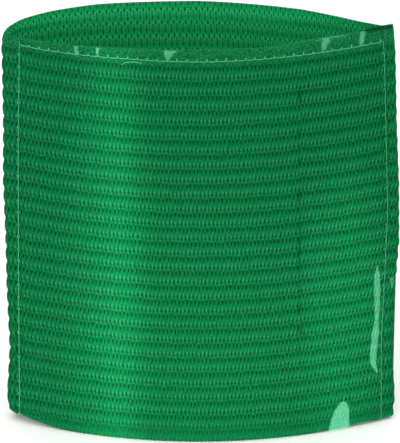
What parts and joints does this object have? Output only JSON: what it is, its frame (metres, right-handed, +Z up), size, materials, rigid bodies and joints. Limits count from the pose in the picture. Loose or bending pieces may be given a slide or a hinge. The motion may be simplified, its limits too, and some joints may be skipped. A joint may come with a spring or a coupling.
{
  "type": "armband with clear window",
  "caption": "Wide stretch armband of ribbed green elastic, a loop that stands on its lower edge, with a sewn-on clear film pocket over its front.",
  "frame": {"origin": "middle of the bottom of the armband's box, on the surface that it stands on", "axes": "+Z up along the width of the band, +X across the window, +Y from the window to the back"},
  "size_m": [0.092, 0.0276, 0.1002],
  "materials": {
    "green_elastic": "matt ribbed weave",
    "clear_film": "glossy transparent"
  },
  "bodies": {
    "root": {"elastic_band": "green_elastic", "clear_window": "clear_film"}
  },
  "joints": []
}
